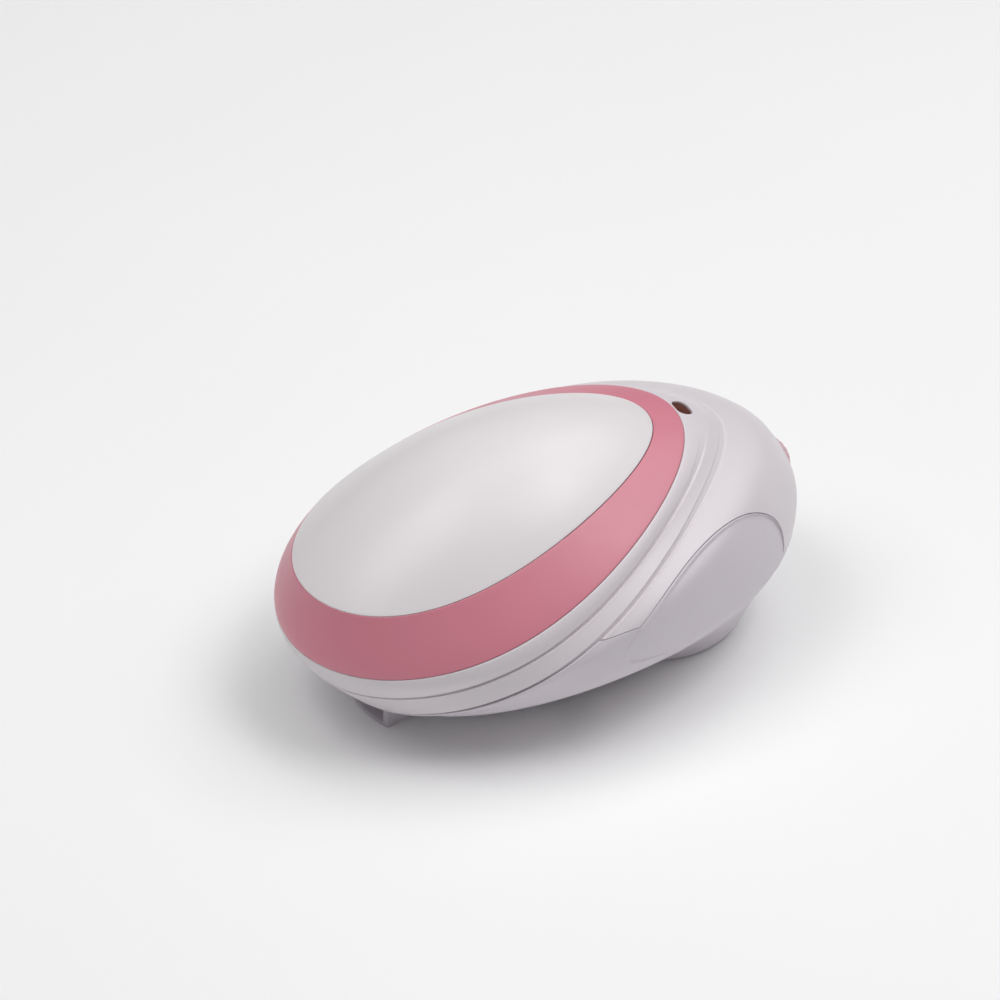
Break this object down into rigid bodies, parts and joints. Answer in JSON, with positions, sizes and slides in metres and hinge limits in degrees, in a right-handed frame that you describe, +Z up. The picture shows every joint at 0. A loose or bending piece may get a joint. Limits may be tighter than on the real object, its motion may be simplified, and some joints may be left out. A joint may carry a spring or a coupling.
{
  "type": "fetal doppler monitor",
  "caption": "Palm-size fetal doppler monitor: egg-shaped shell with an inlaid oval cover and trim ring, round probe under the broad end, thumbwheel, sockets and hinged battery door.",
  "frame": {"origin": "centre of the footprint box on the surface it stands on, under the middle of the body", "axes": "+X towards the broad end with the probe and thumbwheel, +Z up, +Y across; the narrow end with the two sockets is at -X"},
  "size_m": [0.0967, 0.0668, 0.0488],
  "materials": {
    "white_shell": "satin moulded plastic",
    "grey_shell": "fine satin moulded plastic",
    "pink_trim": "satin moulded plastic",
    "pink_wheel": "satin moulded plastic",
    "dark_lens": "polished translucent dark red lens",
    "probe_ring": "satin moulded plastic",
    "probe_window": "smooth acoustic window",
    "seal": "soft rubber",
    "ceramic": "silvered piezo ceramic",
    "foam": "closed cell foam",
    "brass": "plain",
    "tray": "moulded plastic",
    "cell": "printed sleeve over steel",
    "steel": "zinc plated",
    "wire_red": "pvc insulation",
    "wire_black": "pvc insulation",
    "wire_grey": "pvc insulation",
    "board": "solder mask over glass fibre",
    "chip": "moulded epoxy",
    "sleeve": "shrink sleeve",
    "ivory": "nylon",
    "copper": "enamelled wire",
    "led": "tinted epoxy",
    "black_plastic": "moulded plastic"
  },
  "bodies": {
    "root": {"top_cover": "white_shell", "trim_ring": "pink_trim", "upper_housing": "white_shell", "lower_housing": "grey_shell", "led_window": "dark_lens", "battery_tray": "tray", "battery_9v": "cell", "battery_terminals": "steel", "battery_snap": "black_plastic", "battery_lead_red": "wire_red", "battery_lead_black": "wire_black", "probe_housing": "probe_ring", "probe_face": "probe_window", "probe_seal": "seal", "crystal_transmit": "ceramic", "crystal_receive": "ceramic", "probe_backing": "foam", "probe_shield": "brass", "probe_cable": "wire_grey", "main_board": "board", "controller_chip": "chip", "amplifier_chip": "chip", "clock_crystal": "steel", "capacitors": "sleeve", "chip_parts": "ceramic", "shield_can": "steel", "choke_coil": "copper", "battery_socket": "ivory", "probe_socket": "ivory", "status_led": "led", "volume_pot": "black_plastic", "headphone_jack": "black_plastic", "recorder_jack": "black_plastic", "jack_board": "board", "jack_leads": "wire_grey", "board_screws": "steel", "tray_screws": "steel", "housing_screws": "steel"},
    "volume_knob": {"volume_wheel": "pink_wheel", "pot_rotor": "steel", "wheel_screw": "steel"},
    "door": {"battery_door": "grey_shell", "battery_pad": "foam"}
  },
  "joints": [
    {"name": "volume_turn", "type": "hinge", "parent": "root", "child": "volume_knob", "pos_m": [0.0382, 0, 0.0266], "axis": [0, 0, 1], "range_deg": [0, 270]},
    {"name": "door_swing", "type": "hinge", "parent": "root", "child": "door", "pos_m": [0.0042, 0, 0.0022], "axis": [0, -1, 0], "range_deg": [0, 70]}
  ]
}
